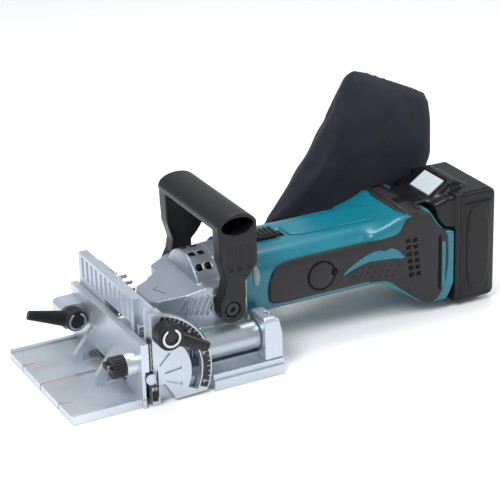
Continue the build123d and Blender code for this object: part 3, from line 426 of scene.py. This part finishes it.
dome = moulded("cast_gear_housing", ["gear_housing"], DOME, "carriage", 0.8, 3)
moulded("moulded_handle", ["handle_loop"], BLACK, "carriage", 0.9, 4)
moulded("cast_nozzle", ["dust_nozzle"], BLACK, "base", 0.9, 6)
moulded("moulded_collar", ["bag_collar"], BLACK, "base", 0.7, 3)
moulded("moulded_fence_lever", ["fence_lever"], BLACK, "fence_lever", 0.6, 6)
moulded("moulded_tilt_lever", ["tilt_lever"], BLACK, "tilt_lever", 0.6, 6)
moulded("cast_rear_blocks", ["rear_blocks"], CAST, "base", 0.7, 3)

LOCK_X, LOCK_Z, BORE_R, BORE_FLOOR = 8, 44, 6.0, 32.8
for vert in dome.data.vertices:  # keeps the lock button's bore open
    x, y, z = vert.co / MM
    out = math.hypot(x - LOCK_X, z - LOCK_Z)
    if 31.5 < y < 44 and out < 6.6:
        if out > 4.8:
            wider = max(1.0, BORE_R / out)
            x, z = LOCK_X + (x - LOCK_X) * wider, LOCK_Z + (z - LOCK_Z) * wider
        else:
            y = min(y, BORE_FLOOR)
        vert.co = Vector((x, y, z)) * MM
dome_skin = skin_of(dome)
ribs = [stroke(-1 + 4.2 * i, 54.5 - 0.5 * i, 5 + 4.2 * i, 67.5 + 0.2 * i, 2.0) for i in range(6)]
for face, some in (("near", ribs), ("far", ribs[4:])):
    inlay("housing_ribs_" + face, some, face, dome_skin, DOME, "carriage", lift=0.8, sink=0.8, step=2.0)
inlay("turn_arrow", [stroke(-8.3, 0.5, -4.4, -15, 0.5), stroke(-8.3, 0.5, -3.2, -0.6, 0.5)], "top", dome_skin,
      GUNMETAL, "carriage", lift=0.1, sink=0.3)
COLLAR_R, COLLAR_Z = 31, 62
HIGH, LOW = math.radians(14), math.radians(42)
across, half = COLLAR_R * math.sin(HIGH), 2.6 * math.cos(HIGH)
middle, tall = COLLAR_Z + COLLAR_R * math.cos(LOW), 2.8 * math.sin(LOW)
# The collar vents are near-black patches on the skin: painted shade standing in for the open vents.
top_vents = []
for row in range(2):
    front, rear = 21.6 + 8 * row, 26.6 + 8 * row
    for sign in (-1, 1):
        top_vents.append(box_outline(front, rear, sign * across - half, sign * across + half))
    for face in ("near", "far"):
        inlay("collar_vent_%s_%d" % (face, row), [box_outline(front, rear, middle - tall, middle + tall)], face,
              dome_skin, RECESS_SHADE, "carriage", lift=0.12, sink=0.5, step=30)
inlay("collar_vents_top", top_vents, "top", dome_skin, RECESS_SHADE, "carriage", lift=0.12, sink=0.5, step=30)
inlay("collar_ridges", [box_outline(37.5 + 4.2 * i, 39.4 + 4.2 * i, -17, 17) for i in range(4)], "top",
      dome_skin, DOME, "carriage", lift=0.7, sink=0.8, step=2.0)

# Motor body ----------------------------------------------------------------------------------

shell = moulded("motor_shell", ["motor_housing_left", "motor_housing_right"], TEAL, "carriage", 1.1, 14)
relax(shell, lambda p: 166 < p.x < 206 and p.z > 68, 50)
shell_skin = skin_of(shell)
FRONT_GRIP = smooth_line([(79.6, 43.2), (77.3, 57.4), (81.4, 72.7), (88.9, 79.6), (113.6, 80.2), (160, 80),
                          (196, 79.4), (207, 84), (212, 76), (212, 30), (206, 29), (196, 37), (187, 43.4),
                          (129, 43.4)], 2)
REAR_PATCH = smooth_line([(200, 80), (206, 88), (209.5, 96.8), (229.5, 97.4), (239.6, 80.2), (249.4, 73.6),
                          (250.4, 46.6), (247.4, 25.5), (238, 11), (228, 11.2), (210.5, 24.6), (200, 33.3),
                          (196, 40)], 1)
SWOOSH = smooth_line([(146, 55.1), (152, 60.5), (160.4, 65.2), (170, 69.2), (179.6, 71.6), (187, 69.6),
                      (193, 71), (200, 67.6), (207.6, 58.6), (197, 60.6), (185, 62), (172, 62.8),
                      (158, 59.6)], 1)
CAP_X, CAP_Y, CAP_Z = 127, 36.2, 60.5
for face, side, sign in (("near", "left", -1), ("far", "right", 1)):
    grip = inlay("soft_grip_" + side, [FRONT_GRIP], face, shell_skin, GRIP, "carriage", lift=1.1, sink=0.8)
    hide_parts("grip_" + side)
    patch = inlay("rear_patch_" + side, [REAR_PATCH], face, shell_skin, GRIP, "carriage", lift=0.7, sink=0.8,
                  even=(203, 226, 36, 78, -37.0))
    outer = skin_of(shell, grip, patch)
    inlay("swoosh_" + side, [SWOOSH], face, outer, TEAL, "carriage", lift=0.5, sink=0.8, step=2.0)
    dots = []
    for row in range(3):
        for column in range(8 - row):
            x = 154 + column * 6.6 + row * 4.2
            dots.append(oval(x, 57.6 - row * 4.6 - 0.0055 * (x - 172) ** 2, 0.9, 0.9, 10))
    inlay("grip_dots_" + side, dots, face, outer, BLACK, "carriage", lift=0.5, sink=0.6, step=30)
    # The rear slot and the vent slots below are near-black patches: painted shade for the openings.
    inlay("rear_slot_" + side, [box_outline(240.2, 242.8, 22, 71.5)], face, outer, RECESS_SHADE, "carriage",
          0.25, 0.6, 2.5)
    inlay("rear_strip_" + side, [[(243.7, 66), (247.1, 65), (246.6, 24), (243.5, 21)]],
          face, outer, TEAL, "carriage", 0.5, 0.6, 2.5)
    vents = []
    for column in range(2):
        for row in range(6):
            x, z = 207.6 + column * 7.0 + row * 0.75, 73.4 - row * 6.3 - column * 0.5
            vents.append([(x, z - 1.7), (x + 4.6, z - 1.9), (x + 4.4, z + 1.7), (x - 0.2, z + 1.9)])
    inlay("vent_slots_" + side, vents, face, outer, RECESS_SHADE, "carriage", lift=0.2, sink=0.6, step=30)
    inlay("pale_oval_" + side, [oval(67.6, 72.5, 3.0, 8.6)], face, shell_skin, LABEL, "carriage", 0.3, 0.5, 2.0)

    cap = lathe("brush_cap_" + side, [(0, 1.9), (10.4, 1.8), (11.2, 1.5), (11.5, 0.4), (11.5, -0.8)],
                (CAP_X, sign * CAP_Y, CAP_Z), (0, sign, 0), GRIP, "carriage")
    # The dark groove ring and the notch are painted shade for the cap's recesses.
    lathe("brush_groove_" + side, [(11.3, 1.2), (12.2, 1.75), (13.1, 1.4), (13.3, 0.2)],
          (CAP_X, sign * CAP_Y, CAP_Z), (0, sign, 0), RECESS_SHADE, "carriage")
    inlay("brush_notch_" + side, [box_outline(136.4, 141.6, 59, 63.4)], face, outer, RECESS_SHADE, "carriage", 1.6, 0.6)
    if side == "left":
        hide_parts("brush_covers")

inlay("top_band", [smooth_line([(60, -13), (78, -13.6), (78, 13.6), (60, 13)], 1),
                   smooth_line([(112, -13.5), (150, -15), (196, -17.5), (196, 17.5), (150, 15),
                                (112, 13.5)], 1)],
      "top", shell_skin, TEAL, "carriage", lift=0.9, sink=0.8)
inlay("top_dark", [smooth_line([(208, -34), (231, -34), (231, 34), (208, 34)], 1)], "top", shell_skin,
      GRIP, "carriage", lift=0.6, sink=0.8)
# The top hole is a near-black patch: painted shade for the opening.
inlay("top_hole", [box_outline(217.5, 228, -9, 2.4)], "top", shell_skin, RECESS_SHADE, "carriage", lift=0.9, sink=0.4)
inlay("slider_well", [smooth_line([(82, -9.6), (110, -9.6), (110, 9.6), (82, 9.6)], 2)], "top", shell_skin,
      BLACK, "carriage", lift=0.5, sink=0.7, step=2.0)

# Battery -------------------------------------------------------------------------------------

case = moulded("battery_shell", ["battery_case"], PACK, "battery", 1.0, 9)
hood = moulded("battery_hood", ["battery_cover"], PACK, "battery", 0.6, 1)
relax(hood, lambda p: p.x < 261.5 and (abs(p.y) > 17.5 or p.x < 240), 45)
moulded("release_button", ["battery_button"], WHITE, "battery_button", 0.5, 6)
case_skin = skin_of(case)
for face in ("near", "far"):
    inlay("pack_panel_" + face, [smooth_line([(268, 15), (290, 15), (290, 91), (268, 91)], 2)], face, case_skin,
          PACK, "battery", lift=0.8, sink=0.8)

# Scales and marks ----------------------------------------------------------------------------

plate_skin = skin_of(nodes["fence_plate"])
inlay("fence_marks", [stroke(-109.5, 0, -81, 0, 0.9), stroke(-109.5, 37.3, -100, 37.3, 0.8),
                      stroke(-109.5, -40.6, -100, -40.6, 0.8)], "top", plate_skin, RED, "fence",
      lift=0.05, sink=0.1)
inlay("wall_mark", [box_outline(-52.1, -49.4, 7.4, 8.2)], "near", plate_skin, RED, "fence", lift=0.05, sink=0.1)
PIVOT_X, PIVOT_Z = -45.0, 25.0
SCALE_FACE, SCALE_R, NUMBER_R, FIRST_TICK = -71.5, 51.6, 47.2, 74
HEIGHT_FACE, HEIGHT_LOW, HEIGHT_TICKS = -71.0, 32, 24


def tick(bm, x0, z0, x1, z1, wide, y):
    """One raised scale tick in an upright plane, added to a bmesh."""
    across = Vector((z0 - z1, 0, x1 - x0)).normalized() * wide / 2
    ends = [Vector((x0, y, z0)), Vector((x1, y, z1))]
    corners = [ends[0] - across, ends[1] - across, ends[1] + across, ends[0] + across]
    proud = [c + Vector((0, -0.08, 0)) for c in corners]
    low = [bm.verts.new(c * MM) for c in corners]
    high = [bm.verts.new(c * MM) for c in proud]
    bm.faces.new(high)
    for i in range(4):
        bm.faces.new((low[i], low[(i + 1) % 4], high[(i + 1) % 4], high[i]))


def on_scale(radius, angle):
    """A point of the angle scale, as x and z about the guide's pivot."""
    return PIVOT_X + radius * math.cos(angle), PIVOT_Z + radius * math.sin(angle)


ticks = bmesh.new()
for step in range(0, 91, 5):
    angle = math.radians(FIRST_TICK - step)
    long = 3.0 if step % 15 == 0 else 1.8
    tick(ticks, *on_scale(SCALE_R, angle), *on_scale(SCALE_R - long, angle), 0.35, SCALE_FACE)
to_object("angle_ticks", ticks, INK, "angle_guide", smooth=False)
for step in (0, 30, 60, 90):
    angle = math.radians(FIRST_TICK - step)
    turn = Matrix.Rotation(math.pi / 2, 4, "X") @ Matrix.Rotation(angle - math.pi / 2, 4, "Z")
    x, z = on_scale(NUMBER_R, angle)
    number(str(step), 2.9, (x, SCALE_FACE - 0.05, z), turn, INK, "angle_guide")
ticks = bmesh.new()
for i in range(HEIGHT_TICKS):
    long = 1.8 if i % 5 == 0 else 1.1
    tick(ticks, -44.8, HEIGHT_LOW + i, -44.8 + long, HEIGHT_LOW + i, 0.3, HEIGHT_FACE)
to_object("height_ticks", ticks, INK, "angle_guide", smooth=False)
ticks = bmesh.new()
for i in range(HEIGHT_TICKS):
    long = 3.6 if i % 5 == 0 else 2.0
    low, high, near, far = 31.9 + i, 32.2 + i, -65.6 - long, -65.6
    corners = [(-45.0, far, low), (-45.0, near, low), (-45.0, near, high), (-45.0, far, high)]
    ticks.faces.new([ticks.verts.new(Vector(c) * MM) for c in corners])
to_object("height_front_ticks", ticks, INK, "angle_guide", smooth=False)

# Springs -------------------------------------------------------------------------------------

ROD_Y, ROD_Z, COIL_R = 51, 31, 7.5
TURNS, STEPS, FRONT, REAR = 9, 22, -21.2, 9.2
coils = bmesh.new()
for side in (-1, 1):
    points = []
    for i in range(TURNS * STEPS + 1):
        share = i / (TURNS * STEPS)
        angle = 2 * math.pi * i / STEPS
        points.append((FRONT + (REAR - FRONT) * share, side * ROD_Y + COIL_R * math.cos(angle),
                       ROD_Z + COIL_R * math.sin(angle)))
    tube_along(coils, points, 0.75, 7)
springs = to_object("coil_springs", coils, SPRING, "base")
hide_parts("plunge_springs")
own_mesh(springs)

# Dust bag ------------------------------------------------------------------------------------

BAG_Y = 64
MIDDLE = Vector((222, BAG_Y, 110))
SWELL = 0.005  # the most that the cloth may swell, in metres
FRAMES = 20
OUTLINE = [(122.5, 63), (135, 83), (164, 121), (185, 150), (206, 181), (214, 192), (218, 193), (226, 191.5),
           (250, 180), (284, 163.5), (291.5, 157), (295, 134), (295.5, 96), (262, 62), (204, 48), (162, 43.5),
           (138, 44)]


def bag_shape():
    """The bag before it is blown up: a flat pillow whose front is drawn in towards its mouth."""
    bm = bmesh.new()
    outline = smooth_line(OUTLINE, 1)
    rings = []
    for y, share in ((50, 0.5), (51, 0.78), (54, 0.92), (59, 0.985), (64, 1.0), (69, 0.985), (74, 0.92),
                     (77, 0.78), (78, 0.5)):
        ring = []
        for x, z in outline:
            full = min(1.0, max(0.0, (x - 122) / 60))
            thick = BAG_Y + (y - BAG_Y) * (0.45 + 0.55 * full)
            ring.append(bm.verts.new(Vector((MIDDLE.x + (x - MIDDLE.x) * share, thick,
                                             MIDDLE.z + (z - MIDDLE.z) * share)) * MM))
        rings.append(ring)
    count = len(outline)
    for low, high in zip(rings, rings[1:]):
        for i in range(count):
            bm.faces.new((low[i], low[(i + 1) % count], high[(i + 1) % count], high[i]))
    bm.faces.new(rings[0])
    bm.faces.new(rings[-1])
    return bm


bag = to_object("dust_bag_soft", bag_shape(), CLOTH, "base")
remesh = bag.modifiers.new("skin", "REMESH")
remesh.mode, remesh.voxel_size = "VOXEL", 0.004
settle(bag)
rest = [v.co.copy() for v in bag.data.vertices]
cloth = bag.modifiers.new("cloth", "CLOTH")
cloth.settings.use_pressure = True
cloth.settings.uniform_pressure_force = 4
cloth.settings.tension_stiffness = 12
cloth.settings.bending_stiffness = 0.6
cloth.settings.effector_weights.gravity = 0
cloth.settings.quality = 6
cloth.point_cache.frame_start, cloth.point_cache.frame_end = 1, FRAMES
for frame_number in range(1, FRAMES + 1):
    bpy.context.scene.frame_set(frame_number)
settle(bag)
bpy.context.scene.frame_set(1)
for vert, start in zip(bag.data.vertices, rest):
    move = vert.co - start
    if move.length > SWELL:
        move *= SWELL / move.length
    x, y, z = (start + move) / MM
    mouth = max(0.0, 1 - math.hypot(x - 128, z - 62) / 55)
    spread = math.atan2(z - 62, x - 128)
    pleat = 1.5 * mouth * math.sin(spread * 22)
    folds = 2.6 * noise.noise(Vector((x * 0.030, y * 0.05, z * 0.022)) + Vector((3, 7, 1)))
    folds += 1.3 * noise.noise(Vector((x * 0.075 - z * 0.045, y * 0.06, z * 0.018)))
    away = max(-1.0, min(1.0, (y - BAG_Y) / 6))
    edge = math.exp(-((y - BAG_Y) / 2.2) ** 2) * 1.3
    outward = Vector((x - MIDDLE.x, 0, z - MIDDLE.z)).normalized() * edge
    vert.co = Vector((x + outward.x, min(83.6, max(45.2, y + away * (pleat + folds))), z + outward.z)) * MM
bag.data.materials.clear()
bag.data.materials.append(CLOTH)
for face in bag.data.polygons:
    face.use_smooth = True
more = bag.modifiers.new("fine", "SUBSURF")
more.levels = more.render_levels = 1
settle(bag)
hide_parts("dust_bag")

# Floor, light and camera ---------------------------------------------------------------------

grid = bmesh.new()
bmesh.ops.create_grid(grid, x_segments=2, y_segments=2, size=6)
floor_mesh = bpy.data.meshes.new("floor")
grid.to_mesh(floor_mesh)
grid.free()
floor = bpy.data.objects.new("floor", floor_mesh)
floor.location.z = -0.0002
bpy.context.scene.collection.objects.link(floor)
pale = bpy.data.materials.new("pale_floor")
pale.use_nodes = True
surface = pale.node_tree.nodes["Principled BSDF"]
surface.inputs["Base Color"].default_value = (0.92, 0.925, 0.93, 1)
surface.inputs["Roughness"].default_value = 0.7
floor_mesh.materials.append(pale)

world = bpy.data.worlds.new("studio")
bpy.context.scene.world = world
world.use_nodes = True
backdrop = world.node_tree.nodes["Background"]
backdrop.inputs["Color"].default_value = (0.96, 0.98, 1.0, 1)
backdrop.inputs["Strength"].default_value = 0.55
TARGET = Vector((0.08, 0, 0.06))


def lamp(name, place, size, power):
    """A soft round light that faces the tool."""
    data = bpy.data.lights.new(name, "AREA")
    data.shape, data.size, data.energy = "DISK", size, power
    obj = bpy.data.objects.new(name, data)
    obj.location = place
    obj.rotation_euler = (TARGET - Vector(place)).to_track_quat("-Z", "Y").to_euler()
    bpy.context.scene.collection.objects.link(obj)


lamp("key", (-0.75, -0.6, 1.2), 0.6, 15)
lamp("top", (0.25, 0.35, 1.4), 0.8, 12)
lamp("rim", (1.1, -0.6, 0.7), 0.5, 5)

EYE = (-0.5860, -1.3177, 0.7175)
azimuth, elevation, roll = math.radians(-26.764), math.radians(23.5585), math.radians(-1.6958)
back = Vector((math.sin(azimuth) * math.cos(elevation), -math.cos(azimuth) * math.cos(elevation),
               math.sin(elevation)))
right = Vector((0, 0, 1)).cross(back).normalized()
up = back.cross(right)
turned = right * math.cos(roll) + up * math.sin(roll)
raised = up * math.cos(roll) - right * math.sin(roll)
camera_data = bpy.data.cameras.new("camera")
camera_data.lens, camera_data.sensor_width = 140.63, 36
camera_data.shift_x, camera_data.shift_y = 0.0038, 0.0144
camera = bpy.data.objects.new("camera", camera_data)
camera.matrix_world = Matrix(((turned.x, raised.x, back.x, EYE[0]), (turned.y, raised.y, back.y, EYE[1]),
                              (turned.z, raised.z, back.z, EYE[2]), (0, 0, 0, 1)))
bpy.context.scene.collection.objects.link(camera)
bpy.context.scene.camera = camera
bpy.context.scene.view_settings.view_transform = "Standard"
